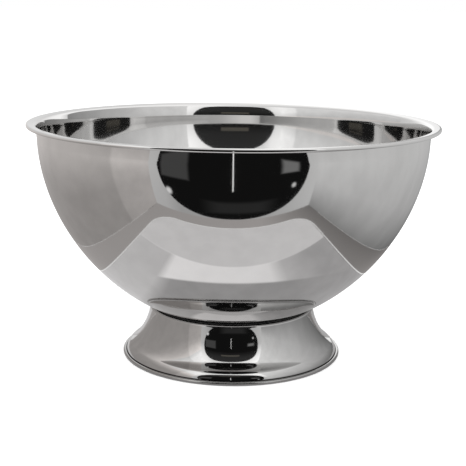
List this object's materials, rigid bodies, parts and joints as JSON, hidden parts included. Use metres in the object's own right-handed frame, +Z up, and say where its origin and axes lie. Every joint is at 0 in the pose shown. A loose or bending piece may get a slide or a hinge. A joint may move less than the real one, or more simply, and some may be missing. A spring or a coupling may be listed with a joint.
{
  "type": "punch bowl",
  "caption": "Deep round punch bowl in mirror-polished sheet steel, with a flared and rolled rim, bolted through a thin gasket to a flared pedestal foot with a rolled base bead.",
  "frame": {"origin": "on the bowl's axis, in the plane that the foot stands on", "axes": "+Z up along the axis of the bowl and foot; X and Y lie in the standing plane and are interchangeable on a turned part"},
  "size_m": [0.4, 0.4, 0.233],
  "materials": {
    "polished_bowl": "mirror-polished stainless steel",
    "polished_foot": "mirror-polished stainless steel",
    "gasket_rubber": "matt black rubber",
    "fixings": "plain stainless fasteners"
  },
  "bodies": {
    "root": {"bowl_shell": "polished_bowl", "pedestal_foot": "polished_foot", "seat_gasket": "gasket_rubber", "weld_stud": "fixings", "flat_washer": "fixings", "spring_washer": "fixings", "hex_nut": "fixings"}
  },
  "joints": []
}
